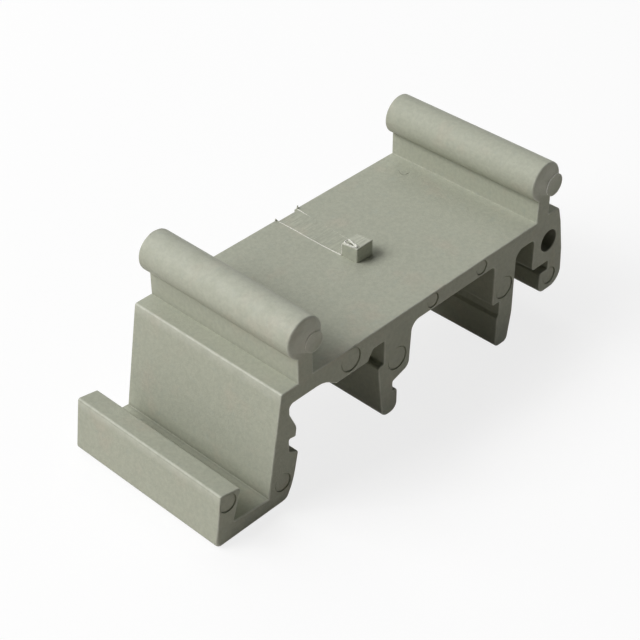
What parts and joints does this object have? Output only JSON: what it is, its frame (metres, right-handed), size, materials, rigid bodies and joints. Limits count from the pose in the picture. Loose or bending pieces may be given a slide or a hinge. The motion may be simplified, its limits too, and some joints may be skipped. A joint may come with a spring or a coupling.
{
  "type": "din rail mounting bracket",
  "caption": "Moulded clip-on rail foot: flat deck between round carrier beads, sprung latch with release lip, hooked end and inner legs for wide and narrow rails.",
  "frame": {"origin": "midway between the wide rail's two seats, at half the foot's length, on the plane that the rail's flange bears on", "axes": "+X across the rail from the release lip to the hooked end, +Y along the rail, +Z away from the rail"},
  "size_m": [0.0465, 0.0183, 0.0184],
  "materials": {
    "body": "matte pebble-grey moulded thermoplastic"
  },
  "bodies": {
    "root": {"rail_foot": "body"}
  },
  "joints": []
}
